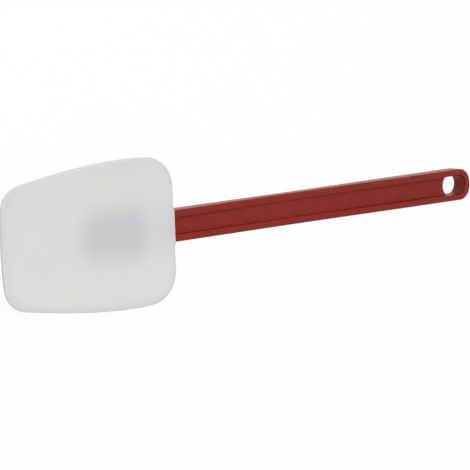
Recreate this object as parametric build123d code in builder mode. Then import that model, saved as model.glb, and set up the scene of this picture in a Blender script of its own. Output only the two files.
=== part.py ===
from build123d import *
import os
from math import cos, radians, sin, sqrt

# Silicone spatula lying face up on its back: a handle moulded with a tang, and a blade moulded over the tang.
# X runs from the blade's tip to the hanging end, Y across, and Z up from the table. Lengths are in millimetres.
os.makedirs("parts", exist_ok=True)

# The whole spatula
total_length = 343.0
overrun = 10.0

# Handle, a bar with an I section
width_at_blade = 17.3
width_at_end = 18.8
thickness_at_blade = 9.8
thickness_at_waist = 7.2
thickness_at_end = 10.2
waist_share = 0.45
end_pad_length = 30.0
end_corner_radius = 8.0
long_edge_radius = 0.9

# Recess along both faces of the handle
rail_width = 3.9
web_thickness = 3.0
recess_start_wall = 2.5
recess_corner_radius = 2.2
recess_floor_radius = 0.8
recess_rim_radius = 0.4

# Hanging slot through the handle's end
slot_length = 16.3
slot_width = 12.2
slot_end_wall = 3.5
slot_inner_radius = 7.0
slot_outer_radius = 5.6
slot_flare_length = 24.0
slot_flare_radius = 60.0

# Tang inside the blade
tang_thickness = 5.0
neck_width = 12.0
paddle_length = 43.0
paddle_width = 24.5
paddle_corner_radius = 5.0
paddle_start = 18.0
key_hole_diameter = 7.0
key_hole_pitch = 13.0

# Blade outline
blade_length = 110.4
heel_width = 74.7
tip_width = 61.0
heel_bow = 1.9
tip_bow = 0.4
side_bow = 5.1
side_bow_share = 0.68
heel_corner_radius = 19.0
tip_corner_radius = 13.1

# Dish of the blade
cover_over_tang = 2.8
plate_thickness = 2.8
lip_thickness = 2.4
dish_depth_across = 2.9
dish_depth_along = 1.7
front_middle_share = 0.3
back_middle_share = 0.39
lip_edge_radius = 0.8
barrel_swing = 40.0

# Hub on the blade's back
hub_cover = 3.6
collar_cover = 2.1
hub_flare = 2.4
hub_corner_radius = 7.0
hub_back_radius = 2.4
hub_root_radius = 3.0

# Places that follow from the sizes
tip_x = -total_length / 2
end_x = total_length / 2
shoulder_x = tip_x + blade_length
heel_corner_x = shoulder_x - heel_bow
tip_corner_x = tip_x + tip_bow
front_middle_x = tip_x + blade_length * front_middle_share
back_middle_x = tip_x + blade_length * back_middle_share
middle_z = thickness_at_end / 2
handle_length = end_x - shoulder_x
slot_end_x = end_x - slot_end_wall
slot_start_x = slot_end_x - slot_length
pad_x = end_x - end_pad_length
waist_x = shoulder_x + (pad_x - shoulder_x) * waist_share
recess_start_x = shoulder_x + recess_start_wall
flare_start_x = slot_end_x - slot_flare_length
paddle_end_x = shoulder_x - paddle_start
paddle_tip_x = paddle_end_x - paddle_length
floor_z = middle_z + tang_thickness / 2 + cover_over_tang


# Half the handle's width at a place along it
def handle_half_width(x):
    share = (x - shoulder_x) / handle_length
    return (width_at_blade + (width_at_end - width_at_blade) * share) / 2


# Rounds the two corners of the sketch in hand that lie nearest to this place along the spatula
def round_two_corners(x, radius):
    fillet(vertices().sort_by(lambda corner: abs(corner.X - x))[:2], radius=radius)


# How far an arc of this radius has risen at this distance from its lowest point
def rise(radius, half_span):
    return radius - sqrt(radius**2 - half_span**2)


# Radius of the arc that rises by a depth over half its span
def arc_radius(depth, half_span):
    return (half_span**2 + depth**2) / (2 * depth)


# Whether an edge lies on the handle's front or back face
def on_the_faces(edge):
    return abs(edge.center().Z - middle_z) > thickness_at_waist / 2 - recess_rim_radius


# Whether an edge lies beside the middle line or towards the blade, which leaves out the web's end at the slot
def beside_a_rail(edge):
    return edge.center().X < waist_x or abs(edge.center().Y) > slot_width / 4


# Handle: one moulding of glass-filled nylon, from the shoulder at the blade to the hanging end
with BuildPart() as handle:
    with BuildSketch():
        with BuildLine():
            Polyline(
                (shoulder_x, -width_at_blade / 2),
                (end_x, -width_at_end / 2),
                (end_x, width_at_end / 2),
                (shoulder_x, width_at_blade / 2),
                close=True,
            )
        make_face()
        round_two_corners(end_x, end_corner_radius)
    extrude(amount=thickness_at_end)

    # The side view has a waist between the blade and the flat pad round the slot
    with BuildSketch(Plane.XZ):
        with BuildLine():
            for side in (1, -1):
                Spline(
                    (shoulder_x, middle_z + side * thickness_at_blade / 2),
                    (waist_x, middle_z + side * thickness_at_waist / 2),
                    (pad_x, middle_z + side * thickness_at_end / 2),
                    (end_x, middle_z + side * thickness_at_end / 2),
                    tangents=[(1, 0)] * 4,
                )
            for place, thickness in ((shoulder_x, thickness_at_blade), (end_x, thickness_at_end)):
                Line((place, middle_z - thickness / 2), (place, middle_z + thickness / 2))
        make_face()
    extrude(amount=width_at_end, both=True, mode=Mode.INTERSECT)
    outer_edges = edges().filter_by(lambda edge: edge.center().X > shoulder_x + overrun)
    outer_edges = outer_edges.filter_by(Axis.Z, reverse=True)
    fillet(outer_edges, radius=long_edge_radius)

    # One opening between the rails: the long recess, which widens a little to the end of the hanging slot
    with BuildSketch():
        with BuildLine():
            Polyline(
                (recess_start_x, rail_width - handle_half_width(recess_start_x)),
                (flare_start_x, rail_width - handle_half_width(flare_start_x)),
                (slot_end_x, -slot_width / 2),
                (slot_end_x, slot_width / 2),
                (flare_start_x, handle_half_width(flare_start_x) - rail_width),
                (recess_start_x, handle_half_width(recess_start_x) - rail_width),
                close=True,
            )
        make_face()
        round_two_corners(recess_start_x, recess_corner_radius)
        round_two_corners(flare_start_x, slot_flare_radius)
        round_two_corners(slot_end_x, slot_outer_radius)
    extrude(amount=thickness_at_end, mode=Mode.SUBTRACT)
    fillet(edges(Select.LAST).filter_by(on_the_faces), radius=recess_rim_radius)

    # The web closes the recess at half its depth, and ends in an arc that is the slot's side towards the blade
    web_half = slot_width / 2 + recess_rim_radius / 2
    web_end_x = slot_start_x + rise(slot_inner_radius, web_half)
    with BuildSketch(Plane.XY.offset(middle_z)):
        with BuildLine():
            Polyline(
                (web_end_x, web_half),
                (recess_start_x - recess_start_wall / 2, web_half),
                (recess_start_x - recess_start_wall / 2, -web_half),
                (web_end_x, -web_half),
            )
            ThreePointArc((web_end_x, -web_half), (slot_start_x, 0), (web_end_x, web_half))
        make_face()
    extrude(amount=web_thickness / 2, both=True)
    for side in (1, -1):
        web_face = faces().filter_by(Plane.XY).filter_by(lambda face: face.center().X < slot_start_x)
        web_face = web_face.sort_by(lambda face: abs(face.center().Z - middle_z - side * web_thickness / 2))[0]
        fillet(web_face.outer_wire().edges().filter_by(beside_a_rail), radius=recess_floor_radius)

    # The tang: a neck, then a paddle whose holes let the silicone join through it
    neck_start_x = paddle_end_x - paddle_corner_radius
    neck_end_x = shoulder_x + recess_start_wall / 2
    paddle_middle_x = (paddle_tip_x + paddle_end_x) / 2
    with BuildSketch(Plane.XY.offset(middle_z)) as tang:
        with Locations(((neck_start_x + neck_end_x) / 2, 0)):
            Rectangle(neck_end_x - neck_start_x, neck_width)
        with Locations((paddle_middle_x, 0)):
            RectangleRounded(paddle_length, paddle_width, paddle_corner_radius)
        with Locations([(paddle_middle_x + step * key_hole_pitch, 0) for step in (-1, 0, 1)]):
            Circle(key_hole_diameter / 2, mode=Mode.SUBTRACT)
    extrude(amount=tang_thickness / 2, both=True)
handle.part.label = "handle"
export_step(handle.part, "parts/handle.step")

# Blade: one silicone moulding with a thin dished plate in front and a hub behind, formed round the tang
across_radius = arc_radius(dish_depth_across, heel_width / 2)
along_radius = arc_radius(dish_depth_along, blade_length / 2)
back_across_radius = arc_radius(dish_depth_across + plate_thickness - lip_thickness, heel_width / 2)
blade_top_z = floor_z + dish_depth_across + dish_depth_along + overrun


# The space above a surface that curves up from its lowest point, both along and across the blade
def barrel(lowest_x, lowest_z, radius_across):
    axis_z = lowest_z + radius_across
    turn = barrel_swing / 2
    profile_plane = Plane(
        origin=(lowest_x, 0, axis_z),
        x_dir=(1, 0, 0),
        z_dir=(0, -cos(radians(turn)), sin(radians(turn))),
    )
    with BuildPart() as solid:
        with BuildSketch(profile_plane):
            with BuildLine():
                lift = rise(along_radius, blade_length)
                ThreePointArc(
                    (-blade_length, lift - radius_across),
                    (0, -radius_across),
                    (blade_length, lift - radius_across),
                )
                Polyline(
                    (blade_length, lift - radius_across),
                    (blade_length, 0),
                    (-blade_length, 0),
                    (-blade_length, lift - radius_across),
                )
            make_face()
        revolve(axis=Axis((0, 0, axis_z), (1, 0, 0)), revolution_arc=barrel_swing)
    return solid.part


front_barrel = barrel(front_middle_x, floor_z, across_radius)
middle_barrel = barrel(front_middle_x, floor_z - lip_thickness / 2, across_radius)
back_barrel = barrel(back_middle_x, floor_z - plate_thickness, back_across_radius)

with BuildPart() as outline_block:
    with BuildSketch():
        with BuildLine():
            bow_x = tip_x + blade_length * side_bow_share
            bow_y = (tip_width + (heel_width - tip_width) * side_bow_share) / 2 + 2 * side_bow
            Bezier((tip_corner_x, -tip_width / 2), (bow_x, -bow_y), (heel_corner_x, -heel_width / 2))
            ThreePointArc((heel_corner_x, -heel_width / 2), (shoulder_x, 0), (heel_corner_x, heel_width / 2))
            Bezier((heel_corner_x, heel_width / 2), (bow_x, bow_y), (tip_corner_x, tip_width / 2))
            ThreePointArc((tip_corner_x, tip_width / 2), (tip_x, 0), (tip_corner_x, -tip_width / 2))
        make_face()
    extrude(amount=blade_top_z)
    corner_edges = edges().filter_by(Axis.Z).group_by(Axis.X)
    fillet(corner_edges[0], radius=tip_corner_radius)
    fillet(corner_edges[-1], radius=heel_corner_radius)

with BuildPart() as hub:
    collar_half = width_at_blade / 2 + collar_cover
    paddle_half = paddle_width / 2 + hub_cover
    for level, flare in ((0, 0), (blade_top_z, hub_flare)):
        with BuildSketch(Plane.XY.offset(level)):
            with BuildLine():
                hub_tip_x = paddle_tip_x - hub_cover - flare
                Polyline(
                    (shoulder_x + overrun, -collar_half - flare),
                    (shoulder_x + overrun, collar_half + flare),
                    (shoulder_x, collar_half + flare),
                    (paddle_end_x, paddle_half + flare),
                    (hub_tip_x, paddle_half + flare),
                    (hub_tip_x, -paddle_half - flare),
                    (paddle_end_x, -paddle_half - flare),
                    (shoulder_x, -collar_half - flare),
                    close=True,
                )
            make_face()
            round_two_corners(hub_tip_x, hub_corner_radius)
    loft()
    hub_back_edges = edges().group_by(Axis.Z)[0].filter_by(lambda edge: edge.center().X < shoulder_x + overrun / 2)
    fillet(hub_back_edges, radius=hub_back_radius)
    add(outline_block.part, mode=Mode.INTERSECT)
    add(middle_barrel, mode=Mode.SUBTRACT)

with BuildPart() as blade:
    add(outline_block.part)
    add(back_barrel, mode=Mode.INTERSECT)
    add(front_barrel, mode=Mode.SUBTRACT)
    lip_edges = edges().filter_by(lambda edge: edge.length > 2 * lip_thickness)
    fillet(lip_edges, radius=lip_edge_radius)
    plate = blade.part
    add(hub.part)

    # The root is rounded round the paddle, where the hub stands clear of the heel
    seam = new_edges(plate, hub.part, combined=blade.part)
    root_edges = seam.filter_by(lambda edge: edge.center().X < paddle_end_x)
    fillet(root_edges, radius=hub_root_radius)
    add(handle.part, mode=Mode.SUBTRACT)
blade.part.label = "blade"
export_step(blade.part, "parts/blade.step")
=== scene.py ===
import math

import bmesh
import bpy
import numpy as np
from mathutils import Matrix, Vector


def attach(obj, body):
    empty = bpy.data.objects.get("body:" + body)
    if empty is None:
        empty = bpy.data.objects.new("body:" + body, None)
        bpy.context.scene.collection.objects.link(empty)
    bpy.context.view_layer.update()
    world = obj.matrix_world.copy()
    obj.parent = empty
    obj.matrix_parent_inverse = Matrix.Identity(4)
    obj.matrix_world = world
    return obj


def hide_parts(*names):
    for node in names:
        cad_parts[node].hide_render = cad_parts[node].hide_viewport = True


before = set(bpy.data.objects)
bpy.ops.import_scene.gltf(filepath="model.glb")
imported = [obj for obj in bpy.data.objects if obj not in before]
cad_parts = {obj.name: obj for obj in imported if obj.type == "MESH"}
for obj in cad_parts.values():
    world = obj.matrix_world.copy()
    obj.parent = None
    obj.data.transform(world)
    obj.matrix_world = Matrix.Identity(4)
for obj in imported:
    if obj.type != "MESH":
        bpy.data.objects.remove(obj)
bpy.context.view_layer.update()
mm = 0.001

# The spatula lies face up on the table, its blade's tip at -X and its hanging end at +X. The camera looks
# down on it from beyond the tip, through a long lens. +Y is up in the picture, and the handle runs across it.
camera_place = Vector((-0.7917, 0.1551, 0.9352))
camera_target = Vector((-0.01136, -0.01091, 0.0051))
camera_roll = math.radians(2.23)
backward = (camera_place - camera_target).normalized()
level_up = (Vector((0, 1, 0)) - backward.y * backward).normalized()
level_right = level_up.cross(backward)
camera_up = math.cos(camera_roll) * level_up + math.sin(camera_roll) * level_right
camera_right = math.cos(camera_roll) * level_right - math.sin(camera_roll) * level_up
camera_data = bpy.data.cameras.new("camera")
camera_data.lens = 168.46
camera_data.shift_x = -0.00174
camera_data.shift_y = 0.00094
camera_data.sensor_width = 36
camera_data.clip_start = 0.05
camera = bpy.data.objects.new("camera", camera_data)
bpy.context.collection.objects.link(camera)
turn = Matrix((camera_right, camera_up, backward)).transposed().to_4x4()
camera.matrix_world = Matrix.Translation(camera_place) @ turn
bpy.context.scene.camera = camera


# Handle: one bar of glass-filled nylon, moulded in brick red, with a tang inside the blade. Two rails run
# round a long opening, and a web fills it at half depth, up to the slot for a hook. Bar and web are each a
# closed outline with the wall's section swept along it, and flat skins between the walls.
class Wire:
    """A socket of a node tree. Sums of wires and numbers add Math nodes, and node() adds any other node."""

    def __init__(self, tree, socket=None):
        self.tree = tree
        self.socket = socket

    def node(self, kind, settings={}, inputs={}, output=0):
        made = self.tree.nodes.new(kind)
        for name, value in settings.items():
            setattr(made, name, value)
        for name, value in inputs.items():
            for source in value if isinstance(value, list) else [value]:
                if isinstance(source, Wire):
                    self.tree.links.new(source.socket, made.inputs[name])
                else:
                    made.inputs[name].default_value = source
        return Wire(self.tree, made.outputs[output] if made.outputs else None)

    def math(self, operation, *values):
        return self.node("ShaderNodeMath", {"operation": operation}, dict(enumerate(values)))

    def __add__(self, other):
        return self.math("ADD", self, other)

    def __radd__(self, other):
        return self.math("ADD", other, self)

    def __sub__(self, other):
        return self.math("SUBTRACT", self, other)

    def __rsub__(self, other):
        return self.math("SUBTRACT", other, self)

    def __mul__(self, other):
        return self.math("MULTIPLY", self, other)

    def __rmul__(self, other):
        return self.math("MULTIPLY", other, self)

    def __truediv__(self, other):
        return self.math("DIVIDE", self, other)

    def __neg__(self):
        return self.math("MULTIPLY", self, -1.0)

    def __gt__(self, other):
        return self.math("GREATER_THAN", self, other)

    def __lt__(self, other):
        return self.math("LESS_THAN", self, other)


handle_sizes = {
    "Shoulder": -61.1 * mm,
    "End": 171.5 * mm,
    "Width at blade": 17.3 * mm,
    "Width at end": 18.8 * mm,
    "Thickness": 10.2 * mm,
    "Thickness at waist": 7.2 * mm,
    "Thickness at blade": 9.8 * mm,
    "Waist": 30.07 * mm,
    "Pad start": 141.5 * mm,
    "End corner radius": 8.0 * mm,
    "Long edge radius": 0.9 * mm,
    "Rail width": 3.9 * mm,
    "Web thickness": 3.0 * mm,
    "Recess start": -58.6 * mm,
    "Recess corner radius": 2.2 * mm,
    "Recess floor radius": 0.8 * mm,
    "Rim radius": 0.4 * mm,
    "Flare start": 144.0 * mm,
    "Slot start": 151.7 * mm,
    "Slot end": 168.0 * mm,
    "Slot width": 12.2 * mm,
    "Slot inner radius": 7.0 * mm,
    "Slot outer radius": 5.6 * mm,
    "Web overlap": 0.3 * mm,
    "Tang thickness": 5.0 * mm,
    "Neck width": 12.0 * mm,
    "Paddle tip": -122.1 * mm,
    "Paddle length": 43.0 * mm,
    "Paddle width": 24.5 * mm,
    "Paddle corner radius": 5.0 * mm,
    "Key hole radius": 3.5 * mm,
    "Key hole pitch": 13.0 * mm,
    "Flat margin": 0.15 * mm,
    "Point spacing": 0.7 * mm,
}

bar_tree = bpy.data.node_groups.new("moulded_bar", "GeometryNodeTree")
for name in handle_sizes:
    bar_tree.interface.new_socket(name, in_out="INPUT", socket_type="NodeSocketFloat")
bar_tree.interface.new_socket("Finish", in_out="INPUT", socket_type="NodeSocketMaterial")
bar_tree.interface.new_socket("Bar", in_out="OUTPUT", socket_type="NodeSocketGeometry")
bar = Wire(bar_tree)
bar_input = bar_tree.nodes.new("NodeGroupInput")
size = {name: Wire(bar_tree, bar_input.outputs[name]) for name in [*handle_sizes, "Finish"]}
half_thickness = size["Thickness"] / 2
half_web = size["Web thickness"] / 2
weld = 0.01 * mm
crease_angle = 0.6


def point(x=0.0, y=0.0, z=0.0):
    return bar.node("ShaderNodeCombineXYZ", {}, {"X": x, "Y": y, "Z": z})


def separate(vector, axis):
    return bar.node("ShaderNodeSeparateXYZ", {}, {"Vector": vector}, axis)


def moved(geometry, x=0.0, y=0.0, z=0.0):
    return bar.node("GeometryNodeTransform", {}, {"Geometry": geometry, "Translation": point(x, y, z)})


def mirrored_down(geometry):
    """The geometry upside down, with its faces still outward."""
    turned = bar.node("GeometryNodeTransform", {}, {"Geometry": geometry, "Scale": (1, 1, -1)})
    return bar.node("GeometryNodeFlipFaces", {}, {"Mesh": turned})


def together(*parts):
    return bar.node("GeometryNodeJoinGeometry", {}, {"Geometry": list(parts)})


def welded(geometry):
    return bar.node("GeometryNodeMergeByDistance", {}, {"Geometry": geometry, "Distance": weld})


place = bar.node("GeometryNodeInputPosition")
place_x = separate(place, "X")
place_y = separate(place, "Y")
place_z = separate(place, "Z")


def half_width(x):
    share = (x - size["Shoulder"]) / (size["End"] - size["Shoulder"])
    return (size["Width at blade"] + (size["Width at end"] - size["Width at blade"]) * share) / 2


def four_sided_outline(start, end, half_at_start, half_at_end, start_radius, end_radius):
    corners = {
        "Point 1": point(start, -half_at_start),
        "Point 2": point(end, -half_at_end),
        "Point 3": point(end, half_at_end),
        "Point 4": point(start, half_at_start),
    }
    plain = bar.node("GeometryNodeCurvePrimitiveQuadrilateral", {"mode": "POINTS"}, corners)
    at_end = place_x > (start + end) / 2
    radius = start_radius + (end_radius - start_radius) * at_end
    rounded = bar.node("GeometryNodeFilletCurve", {"mode": "POLY"},
                       {"Curve": plain, "Count": 32, "Radius": radius, "Limit Radius": False})
    even = bar.node("GeometryNodeResampleCurve", {"mode": "LENGTH"},
                    {"Curve": rounded, "Length": size["Point spacing"]})
    return bar.node("GeometryNodeSetCurveNormal", {"mode": "Z_UP"}, {"Curve": even})


def quarter_round(centre_x, centre_y, radius, start_degrees, sweep_degrees):
    arc = bar.node("GeometryNodeCurveArc", {"mode": "RADIUS"}, {
        "Resolution": 8, "Radius": radius,
        "Start Angle": math.radians(start_degrees), "Sweep Angle": math.radians(sweep_degrees)})
    return moved(arc, centre_x, centre_y)


def straight(start, end):
    return bar.node("GeometryNodeCurvePrimitiveLine", {}, {"Start": start, "End": end})


def upright(start, end, across=0.0):
    return straight(point(across, start), point(across, end))


def level(start, end, height):
    return straight(point(start, height), point(end, height))


def swept(outline, *section):
    """A wall with this section along the outline: the section's x points outward and its y up."""
    wall = bar.node("GeometryNodeCurveToMesh", {}, {"Curve": outline, "Profile Curve": together(*section)})
    return mirrored_down(wall)


def skin(walls, above, height):
    """A flat face at this height, filled in between the open edges of the walls."""
    open_edge = bar.node("GeometryNodeInputMeshEdgeNeighbors") < 2
    rim = bar.node("GeometryNodeMeshToCurve", {}, {"Mesh": walls, "Selection": open_edge * above})
    flat = bar.node("GeometryNodeFillCurve", {"mode": "TRIANGLES"}, {"Curve": rim})
    flat = bar.node("GeometryNodeSetShadeSmooth", {}, {"Geometry": flat, "Shade Smooth": False})
    return moved(flat, z=height)


edge_radius = size["Long edge radius"]
rim_radius = size["Rim radius"]
floor_radius = size["Recess floor radius"]
flat_margin = size["Flat margin"]
outer_outline = four_sided_outline(
    size["Shoulder"], size["End"], size["Width at blade"] / 2, size["Width at end"] / 2,
    edge_radius, size["End corner radius"])


def opening_outline(end, end_radius):
    """The inner sides of the rails, which part a little more towards the slot's end."""
    start = size["Recess start"]
    outline = four_sided_outline(
        start, end, half_width(start) - size["Rail width"], half_width(end) - size["Rail width"],
        size["Recess corner radius"], end_radius)
    past_flare = (place_x - size["Flare start"]) / (size["Slot end"] - size["Flare start"])
    wider = size["Slot width"] / 2 / (half_width(size["Slot end"]) - size["Rail width"]) - 1
    factor = 1 + wider * bar.math("MAXIMUM", past_flare, 0.0)
    return bar.node("GeometryNodeSetPosition", {}, {
        "Geometry": outline, "Position": point(place_x, place_y * factor, place_z)})


outer_wall = swept(
    outer_outline,
    upright(0.0, half_thickness - edge_radius),
    quarter_round(-edge_radius, half_thickness - edge_radius, edge_radius, 0, 90),
    level(-edge_radius, -edge_radius - flat_margin, half_thickness))
opening_wall = swept(
    opening_outline(size["Slot end"], size["Slot outer radius"]),
    level(rim_radius + flat_margin, rim_radius, half_thickness),
    quarter_round(rim_radius, half_thickness - rim_radius, rim_radius, 90, 90),
    upright(half_thickness - rim_radius, 0.0))
walls = welded(together(outer_wall, opening_wall))
face_skin = skin(walls, place_z > half_thickness - weld, half_thickness)
upper_half = together(walls, face_skin)

# Towards the waist the faces sink, and the web stays as it is
past_waist = place_x > size["Waist"]
blade_reach = size["Waist"] - size["Shoulder"]
pad_reach = size["Pad start"] - size["Waist"]
reach = (1 - past_waist) * blade_reach + past_waist * pad_reach
from_waist = bar.math("MINIMUM", bar.math("ABSOLUTE", place_x - size["Waist"]) / reach, 1.0)
rim_thickness = size["Thickness at blade"] + past_waist * (size["Thickness"] - size["Thickness at blade"])
eased = from_waist * from_waist * (3 - 2 * from_waist)
thickness_here = size["Thickness at waist"] + (rim_thickness - size["Thickness at waist"]) * eased
share_of_wall = bar.math("MAXIMUM", (place_z - half_web) / (half_thickness - half_web), 0.0)
sunk = point(place_x, place_y, place_z - (size["Thickness"] - thickness_here) / 2 * share_of_wall)
upper_half = bar.node("GeometryNodeSetPosition", {}, {"Geometry": upper_half, "Position": sunk})


def with_lower_half(upper_half):
    return welded(together(upper_half, mirrored_down(upper_half)))


# The web reaches a little into the rails, with a cove along them, and a round cutter ends it at the slot
cutter_x = size["Slot start"] + size["Slot inner radius"]
web_wall = welded(swept(
    opening_outline(cutter_x, size["Recess corner radius"]),
    upright(0.0, half_web + floor_radius, size["Web overlap"]),
    level(size["Web overlap"], 0.0, half_web + floor_radius),
    quarter_round(-floor_radius, half_web + floor_radius, floor_radius, 0, -90),
    level(-floor_radius, -floor_radius - flat_margin, half_web)))
web_skin = skin(web_wall, (place_z > half_web - weld) * (place_z < half_web + weld), half_web)
web = with_lower_half(together(web_wall, web_skin))
cutter = bar.node("GeometryNodeMeshCylinder", {}, {
    "Vertices": 96, "Radius": size["Slot inner radius"], "Depth": size["Thickness"]}, "Mesh")
web = bar.node("GeometryNodeMeshBoolean", {"operation": "DIFFERENCE", "solver": "EXACT"}, {
    "Mesh 1": web, "Mesh 2": moved(cutter, cutter_x)})

# The tang is a paddle with three holes, and a neck that runs a little way into the bar
paddle_middle = size["Paddle tip"] + size["Paddle length"] / 2
paddle_edge = bar.node("GeometryNodeFilletCurve", {"mode": "POLY"}, {
    "Curve": bar.node("GeometryNodeCurvePrimitiveQuadrilateral", {"mode": "RECTANGLE"}, {
        "Width": size["Paddle length"], "Height": size["Paddle width"]}),
    "Count": 12, "Radius": size["Paddle corner radius"]})
hole = bar.node("GeometryNodeCurvePrimitiveCircle", {"mode": "RADIUS"}, {
    "Resolution": 48, "Radius": size["Key hole radius"]})
holes = [moved(hole, size["Key hole pitch"] * step) for step in (-1, 0, 1)]
paddle_face = bar.node("GeometryNodeFillCurve", {"mode": "TRIANGLES"}, {
    "Curve": together(paddle_edge, *holes)})
half_tang = size["Tang thickness"] / 2
upper_paddle = bar.node("GeometryNodeExtrudeMesh", {"mode": "FACES"}, {
    "Mesh": paddle_face, "Offset Scale": half_tang, "Individual": False})
paddle = moved(with_lower_half(upper_paddle), paddle_middle)
neck_start = paddle_middle + size["Paddle length"] / 2 - size["Paddle corner radius"]
neck_end = (size["Shoulder"] + size["Recess start"]) / 2
neck = bar.node("GeometryNodeMeshCube", {}, {
    "Size": point(neck_end - neck_start, size["Neck width"], size["Tang thickness"])}, "Mesh")
neck = moved(neck, (neck_start + neck_end) / 2)
tang = bar.node("GeometryNodeMeshBoolean", {"operation": "UNION", "solver": "EXACT"}, {
    "Mesh 2": [paddle, neck]})

whole = together(with_lower_half(upper_half), web, tang)
steep = bar.node("GeometryNodeInputMeshEdgeAngle") > crease_angle
whole = bar.node("GeometryNodeSetShadeSmooth", {"domain": "EDGE"}, {
    "Geometry": whole, "Selection": steep, "Shade Smooth": False})
real = bar.node("GeometryNodeRealizeInstances", {}, {"Geometry": moved(whole, z=half_thickness)})
finished = bar.node("GeometryNodeSetMaterial", {}, {"Geometry": real, "Material": size["Finish"]})
bar_output = bar_tree.nodes.new("NodeGroupOutput")
bar_tree.links.new(finished.socket, bar_output.inputs["Bar"])


def emptied(owner):
    """The node tree of a material or a world, with its first nodes taken out."""
    owner.use_nodes = True
    owner.node_tree.nodes.clear()
    return Wire(owner.node_tree)


# Glass-filled nylon is matt, with a fine grain of lighter and darker red
nylon = bpy.data.materials.new("brick_red_nylon")
paint = emptied(nylon)
spot = paint.node("ShaderNodeTexCoord", {}, {}, "Object")
mottle = paint.node("ShaderNodeTexNoise", {}, {
    "Vector": spot, "Scale": 900.0, "Detail": 4.0, "Roughness": 0.6})
patches = paint.node("ShaderNodeTexNoise", {}, {"Vector": spot, "Scale": 120.0, "Detail": 2.0})
grain_contrast = 2.0
tone = (mottle * 0.8 + patches * 0.2 - 0.5) * grain_contrast + 0.5
colour = paint.node("ShaderNodeMix", {"data_type": "RGBA"}, {
    0: tone, 6: (0.160, 0.005, 0.0025, 1), 7: (0.306, 0.026, 0.014, 1)}, 2)
grain = paint.node("ShaderNodeBump", {}, {"Strength": 0.25, "Distance": 0.0002, "Height": mottle})
surface = paint.node("ShaderNodeBsdfPrincipled", {}, {
    "Base Color": colour, "Roughness": 0.27 + 0.1 * patches, "Normal": grain, "Specular IOR Level": 0.25})
paint.node("ShaderNodeOutputMaterial", {}, {"Surface": surface})

bar_object = bpy.data.objects.new("bar_draft", bpy.data.meshes.new("bar_draft"))
bpy.context.collection.objects.link(bar_object)
maker = bar_object.modifiers.new("moulded_bar", "NODES")
maker.node_group = bar_tree
for item in bar_tree.interface.items_tree:
    if item.in_out == "INPUT":
        maker[item.identifier] = nylon if item.name == "Finish" else handle_sizes[item.name]
bpy.context.view_layer.update()
evaluated = bar_object.evaluated_get(bpy.context.evaluated_depsgraph_get())
bar_mesh = bpy.data.meshes.new_from_object(evaluated)
bpy.data.objects.remove(bar_object)
handle = bpy.data.objects.new("handle_bar", bar_mesh)
bpy.context.collection.objects.link(handle)
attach(handle, "root")
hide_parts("handle")


# Blade: one off-white silicone moulding, formed over the handle's tang. A thin plate is dished along and
# across, with a rounded lip, and a hub on its back holds the tang and ends in a collar round the handle.
tip_x = -171.5 * mm
shoulder_x = -61.1 * mm
tip_half = 30.5 * mm
heel_half = 37.35 * mm
tip_bow = 0.4 * mm
heel_bow = 1.9 * mm
side_bow = 5.1 * mm
side_bow_share = 0.68
tip_corner_radius = 13.1 * mm
heel_corner_radius = 19.0 * mm
floor_z = 10.4 * mm
plate_thickness = 2.8 * mm
lip_thickness = 2.4 * mm
lip_radius = 0.9 * mm
lip_slope_width = 3.4 * mm
dish_depth_across = 2.9 * mm
dish_radius_along = 897.0 * mm
front_middle_x = -138.38 * mm
back_middle_x = -128.44 * mm
collar_half = 10.75 * mm
paddle_half = 15.85 * mm
paddle_end_x = -79.1 * mm
hub_tip_x = -125.7 * mm
hub_corner_radius = 7.0 * mm
hub_back_radius = 2.4 * mm
hub_root_radius = 3.0 * mm
hub_flare = 2.4 * mm
hub_flare_height = 25.0 * mm
hub_flare_share = hub_flare / hub_flare_height
free_edge_run = 3.0 * mm
plate_spine = (-145 * mm, -90 * mm)
hub_spine = (-111 * mm, -76 * mm)
weld_distance = 0.004 * mm
speck_size = 0.002 * mm
points_per_line = 400
points_per_side = 900
points_per_arc = 60
points_round_half = 141
points_across_collar = 9
front_rings = 26
back_rings = 18
hub_rings = 8
crowding_to_lip = 0.8
sharp_angle = math.radians(40)


def line(start, end):
    steps = np.linspace(0, 1, points_per_line)[:, None]
    return np.array(start) + (np.array(end) - np.array(start)) * steps


def outward(points):
    """Unit normals of an open line that runs with the solid on its left."""
    along = np.gradient(points, axis=0)
    normals = np.stack([along[:, 1], -along[:, 0]], axis=1)
    return normals / np.linalg.norm(normals, axis=1, keepdims=True)


def joined(first, second, radius):
    """Two lines that meet at a corner, with an arc of this radius between them."""
    centres = first - outward(first) * radius
    gaps = np.linalg.norm(centres[:, None] - second[None], axis=2)
    start = np.argmax(gaps.min(axis=1) <= radius)
    end = gaps[start].argmin()
    centre = centres[start]
    spokes = np.linspace(0, 1, points_per_arc)[:, None]
    first_spoke, last_spoke = first[start] - centre, second[end] - centre
    angle = np.arccos(first_spoke @ last_spoke / radius**2)
    swing = first_spoke * np.sin((1 - spokes) * angle) + last_spoke * np.sin(spokes * angle)
    arc = centre + swing / np.sin(angle)
    return np.concatenate([first[:start], arc, second[end + 1:]])


def spaced(points, count):
    """The same line with its points at equal steps."""
    steps = np.linalg.norm(np.diff(points, axis=0), axis=1)
    reached = np.concatenate([[0], np.cumsum(steps)])
    wanted = np.linspace(0, reached[-1], count)
    return np.column_stack([np.interp(wanted, reached, points[:, axis]) for axis in (0, 1)])


def dish_height(points, lowest_x, lowest_z, depth):
    """Height of a surface that curves up from its lowest point, both across and along."""
    across = (heel_half**2 + depth**2) / (2 * depth)
    lift = dish_radius_along - np.sqrt(dish_radius_along**2 - (points[:, 0] - lowest_x)**2)
    return lowest_z + across - np.sqrt((across - lift)**2 - points[:, 1]**2)


def front_height(points):
    return dish_height(points, front_middle_x, floor_z, dish_depth_across)


def back_height(points):
    depth = dish_depth_across + plate_thickness - lip_thickness
    return dish_height(points, back_middle_x, floor_z - plate_thickness, depth)


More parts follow.
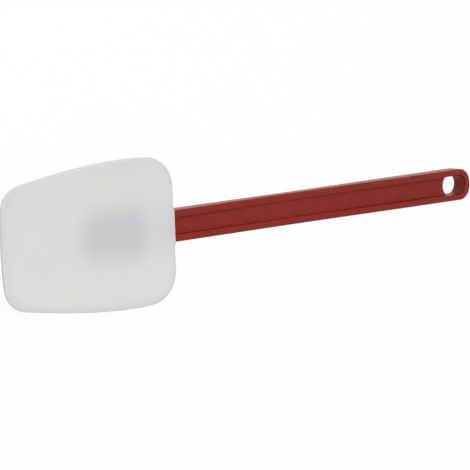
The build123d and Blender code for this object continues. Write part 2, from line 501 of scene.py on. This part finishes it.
# Half of the plate's outline, from the collar's edge round the heel corner and the side to the tip's middle
across_share = np.linspace(0, 1, points_per_line)
heel_y = collar_half + (heel_half - collar_half) * across_share
heel_edge = np.column_stack([shoulder_x - heel_bow * (heel_y / heel_half)**2, heel_y])
tip_y = tip_half * across_share[::-1]
tip_edge = np.column_stack([tip_x + tip_bow * (tip_y / tip_half)**2, tip_y])
side_middle = np.array([
    tip_x + (shoulder_x - tip_x) * side_bow_share,
    tip_half + (heel_half - tip_half) * side_bow_share + 2 * side_bow])
along = np.linspace(0, 1, points_per_side)[:, None]
side_edge = (1 - along)**2 * heel_edge[-1] + 2 * along * (1 - along) * side_middle + along**2 * tip_edge[0]
half_plate = joined(joined(heel_edge, side_edge, heel_corner_radius), tip_edge, tip_corner_radius)
half_plate = spaced(half_plate, points_round_half)

# Half of the hub's outline, from the collar's edge at the heel round the paddle to its tip's middle
collar_corner = (shoulder_x, collar_half)
paddle_corner = (paddle_end_x, paddle_half)
hub_corner = (hub_tip_x, paddle_half)
half_hub = joined(line(collar_corner, paddle_corner), line(paddle_corner, hub_corner), hub_corner_radius)
half_hub = joined(half_hub, line(hub_corner, (hub_tip_x, 0)), hub_corner_radius)
half_hub = spaced(half_hub, points_round_half)

hub_normals = outward(half_hub)
plate_normals = outward(half_plate)


def whole_ring(half, height):
    """A closed ring from its upper half: across the collar's end, round the half, and mirrored back."""
    collar_y = half[0, 1] * np.linspace(0, 1, points_across_collar)[:-1]
    collar_end = np.column_stack([shoulder_x - heel_bow * (collar_y / heel_half)**2, collar_y])
    half = np.concatenate([collar_end, half])
    mirrored = half[-2:0:-1] * (1, -1)
    points = np.concatenate([half, mirrored])
    heights = height(points) if callable(height) else np.full(len(points), height)
    return np.column_stack([points, heights])


def hub_ring(grow, height):
    half = half_hub + hub_normals * grow
    heel_limit = shoulder_x - heel_bow * (half[:, 1] / heel_half)**2
    half[:, 0] = np.minimum(half[:, 0], heel_limit)
    return whole_ring(half, height)


# Beside the collar the lip's rounding begins only where the plate's edge is free
past_collar = (half_plate[:, 1] - collar_half) / free_edge_run
past_heel = half_plate[:, 0] < plate_spine[1]
free_edge = np.clip(np.clip(past_collar, 0, 1) + past_heel, 0, 1)[:, None]


def plate_ring(inset, height, rounding=1.0):
    return whole_ring(half_plate - plate_normals * inset * rounding, height)


def spine_ring(ring, spine, height):
    """A ring shrunk to a stretch of the middle line."""
    points = np.column_stack([np.clip(ring[:, 0], *spine), np.zeros(len(ring))])
    heights = height(points) if callable(height) else np.full(len(points), height)
    return np.column_stack([points, heights])


def quarter_turn(steps, first=1):
    return [math.pi / 2 * step / steps for step in range(first, steps + 1)]


# Rings from the middle of the front, out over the lip, in along the back, down the hub and to its middle
front_edge = plate_ring(lip_slope_width, front_height)
front_middle = spine_ring(front_edge, plate_spine, front_height)
rings = []
for part in np.linspace(0, 1, front_rings) ** crowding_to_lip:
    ring = front_middle + (front_edge - front_middle) * part
    ring[:, 2] = front_height(ring)
    rings.append(ring)
for angle in quarter_turn(10):
    ring = plate_ring(lip_slope_width * (1 - math.sin(angle)), front_height)
    ring[:, 2] -= lip_radius * (1 - math.cos(angle))
    rings.append(ring)
for angle in quarter_turn(6):
    inset = lip_radius * (1 - math.cos(angle))
    ring = plate_ring(inset, back_height, free_edge)
    ring[:, 2] += lip_radius * (1 - math.sin(angle))
    rings.append(ring)
back_edge = rings[-1]
root = hub_ring(hub_root_radius + hub_flare_share * floor_z, back_height)
for part in np.linspace(0, 1, back_rings)[1:]:
    ring = back_edge + (root - back_edge) * part
    ring[:, 2] = back_height(ring)
    rings.append(ring)
for angle in quarter_turn(8):
    grow = hub_root_radius * (1 - math.sin(angle)) + hub_flare_share * (floor_z - hub_root_radius)
    ring = hub_ring(grow, back_height)
    ring[:, 2] -= hub_root_radius * (1 - math.cos(angle))
    rings.append(ring)
for angle in quarter_turn(8, first=0):
    depth = hub_back_radius * (1 - math.sin(angle))
    grow = hub_flare_share * depth - hub_back_radius * (1 - math.cos(angle))
    rings.append(hub_ring(grow, depth))
hub_edge = rings[-1]
hub_middle = spine_ring(hub_edge, hub_spine, 0.0)
for part in np.linspace(0, 1, hub_rings)[1:]:
    rings.append(hub_edge * (1 - part) + hub_middle * part)

count = len(rings[0])
blade_mesh = bpy.data.meshes.new("blade_moulding")
faces = [
    (row + i, row + (i + 1) % count, row + count + (i + 1) % count, row + count + i)
    for row in range(0, (len(rings) - 1) * count, count) for i in range(count)]
blade_mesh.from_pydata(np.concatenate(rings), [], faces)
shell = bmesh.new()
shell.from_mesh(blade_mesh)
bmesh.ops.remove_doubles(shell, verts=shell.verts, dist=weld_distance)
bmesh.ops.dissolve_degenerate(shell, edges=shell.edges, dist=speck_size)
bmesh.ops.recalc_face_normals(shell, faces=shell.faces)
shell.to_mesh(blade_mesh)
shell.free()
blade_mesh.shade_smooth()
blade_mesh.set_sharp_from_angle(angle=sharp_angle)

# Silicone is satin off-white, and light enters it a little way
silicone = bpy.data.materials.new("off_white_silicone")
paint = emptied(silicone)
spot = paint.node("ShaderNodeTexCoord", {}, {}, "Object")
spot_x = paint.node("ShaderNodeSeparateXYZ", {}, {"Vector": spot}, "X")
spot_y = paint.node("ShaderNodeSeparateXYZ", {}, {"Vector": spot}, "Y")


def soft_patch(middle_x, half_length, half_width, corner, softness):
    """One inside a rounded rectangle round the middle line, falling softly to nought outside it."""
    past_x = paint.math("ABSOLUTE", spot_x - middle_x) - (half_length - corner)
    past_y = paint.math("ABSOLUTE", spot_y) - (half_width - corner)
    outside_x, outside_y = paint.math("MAXIMUM", past_x, 0.0), paint.math("MAXIMUM", past_y, 0.0)
    outside = paint.math("SQRT", outside_x * outside_x + outside_y * outside_y)
    distance = outside + paint.math("MINIMUM", paint.math("MAXIMUM", past_x, past_y), 0.0) - corner
    return paint.node("ShaderNodeMapRange", {"interpolation_type": "SMOOTHSTEP"}, {
        "Value": distance, "From Min": softness, "From Max": -softness, "To Min": 0.0, "To Max": 1.0})


# The tang's paddle shows through the silicone as a grey patch of painted shade, a little darker and wider
# towards the heel
seen_tip_x = -122 * mm
seen_length = 45 * mm
seen_half_width = 12.2 * mm
seen_widening = 1.8 * mm
towards_heel = (spot_x - seen_tip_x) / seen_length
paddle_shade = soft_patch(
    middle_x=-100 * mm, half_length=21.5 * mm, half_width=seen_half_width + seen_widening * towards_heel,
    corner=11.5 * mm, softness=9.5 * mm) * (0.84 + 0.16 * towards_heel)

# The neck is narrower, and its painted shade shows only faintly
neck_shade = soft_patch(
    middle_x=-72 * mm, half_length=17 * mm, half_width=11 * mm, corner=9 * mm, softness=9 * mm) * 0.34
cloudy = paint.node("ShaderNodeTexNoise", {}, {"Vector": spot, "Scale": 60.0, "Detail": 3.0})
patch = paint.math("MAXIMUM", paddle_shade, neck_shade) * (0.94 + 0.12 * cloudy)
plain = paint.node("ShaderNodeMix", {"data_type": "RGBA"}, {
    0: cloudy, 6: (0.665, 0.658, 0.646, 1), 7: (0.681, 0.674, 0.662, 1)}, 2)

# The lip is thin, so that light leaves through it; painted shade makes its colour a little darker than the
# plate's
lip_band = 3.0 * mm
blade_share = (spot_x - tip_x) / (shoulder_x - tip_x)
middle_y = float(side_middle[1])
side_rise = 2 * (middle_y - tip_half)
side_fall = 2 * middle_y - tip_half - heel_half
side_y = tip_half + side_rise * blade_share - side_fall * blade_share * blade_share
inner_plate = soft_patch(
    middle_x=(tip_x + shoulder_x) / 2, half_length=(shoulder_x - tip_x) / 2 - lip_band,
    half_width=side_y - lip_band, corner=tip_corner_radius, softness=3.5 * mm)
plain = paint.node("ShaderNodeMix", {"data_type": "RGBA", "blend_type": "MULTIPLY"}, {
    0: 1 - inner_plate, 6: plain, 7: (0.925, 0.93, 0.945, 1)}, 2)
# The tang's painted shade, a bluish grey, is multiplied into the colour
colour = paint.node("ShaderNodeMix", {"data_type": "RGBA", "blend_type": "MULTIPLY"}, {
    0: patch, 6: plain, 7: (0.825, 0.815, 0.877, 1)}, 2)
satin = paint.node("ShaderNodeTexNoise", {}, {"Vector": spot, "Scale": 1500.0, "Detail": 2.0})
grain = paint.node("ShaderNodeBump", {}, {"Strength": 0.08, "Distance": 0.0001, "Height": satin})
surface = paint.node("ShaderNodeBsdfPrincipled", {}, {
    "Base Color": colour, "Roughness": 0.42 + 0.12 * satin, "Normal": grain, "Specular IOR Level": 0.35,
    "Subsurface Weight": 0.4, "Subsurface Radius": (1.0, 0.9, 0.8), "Subsurface Scale": 0.003})
paint.node("ShaderNodeOutputMaterial", {}, {"Surface": surface})
blade_mesh.materials.append(silicone)
blade = bpy.data.objects.new("blade_moulding", blade_mesh)
bpy.context.collection.objects.link(blade)
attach(blade, "root")
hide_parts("blade")


# Table and light: a plain white table under soft light from all round, which the camera sees as plain white
# but for a trace of the spatula's shadow. Mirrored and transmitted rays see some of that white too.
def white_share(paint, seen_share, mirrored_share):
    seen, glossy, transmitted = [
        paint.node("ShaderNodeLightPath", {}, {}, ray)
        for ray in ("Is Camera Ray", "Is Glossy Ray", "Is Transmission Ray")]
    mirrored = paint.math("MAXIMUM", glossy, transmitted)
    return paint.math("MAXIMUM", seen * seen_share, mirrored * mirrored_share)


table_reach = 4.0
table_corners = [(x * table_reach, y * table_reach, 0) for x, y in ((-1, -1), (1, -1), (1, 1), (-1, 1))]
table_mesh = bpy.data.meshes.new("table")
table_mesh.from_pydata(table_corners, [], [(0, 1, 2, 3)])
table = bpy.data.objects.new("table", table_mesh)
bpy.context.collection.objects.link(table)
white = bpy.data.materials.new("white_table")
paint = emptied(white)
lit = paint.node("ShaderNodeBsdfDiffuse", {}, {"Color": (0.9, 0.9, 0.9, 1)})
glow = paint.node("ShaderNodeEmission", {}, {"Color": (1, 1, 1, 1), "Strength": 1.0})
table_white = white_share(paint, seen_share=0.95, mirrored_share=0.5)
mixed = paint.node("ShaderNodeMixShader", {}, {0: table_white, 1: lit, 2: glow})
paint.node("ShaderNodeOutputMaterial", {}, {"Surface": mixed})
table_mesh.materials.append(white)

world = bpy.data.worlds.new("white_room")
bpy.context.scene.world = world
paint = emptied(world)
direction = paint.node("ShaderNodeTexCoord", {}, {}, "Generated")
above = paint.math("MAXIMUM", paint.node("ShaderNodeSeparateXYZ", {}, {"Vector": direction}, "Z"), 0.0)
dim = 0.25 + 0.5 * above
strength = dim + (1 - dim) * white_share(paint, seen_share=1.0, mirrored_share=0.15)
sky = paint.node("ShaderNodeBackground", {}, {"Color": (1, 1, 1, 1), "Strength": strength})
paint.node("ShaderNodeOutputWorld", {}, {"Surface": sky})

# One large soft lamp high above the blade, towards the picture's upper edge
key_place = Vector((-0.2, 0.35, 1.0))
key_target = Vector((-0.1, 0, 0))
key_data = bpy.data.lights.new("key_light", "AREA")
key_data.size = 0.7
key_data.energy = 6.5
key_light = bpy.data.objects.new("key_light", key_data)
key_light.location = key_place
key_light.rotation_euler = (key_target - key_place).to_track_quat("-Z", "Y").to_euler()
bpy.context.collection.objects.link(key_light)

bpy.context.scene.view_settings.view_transform = "Standard"
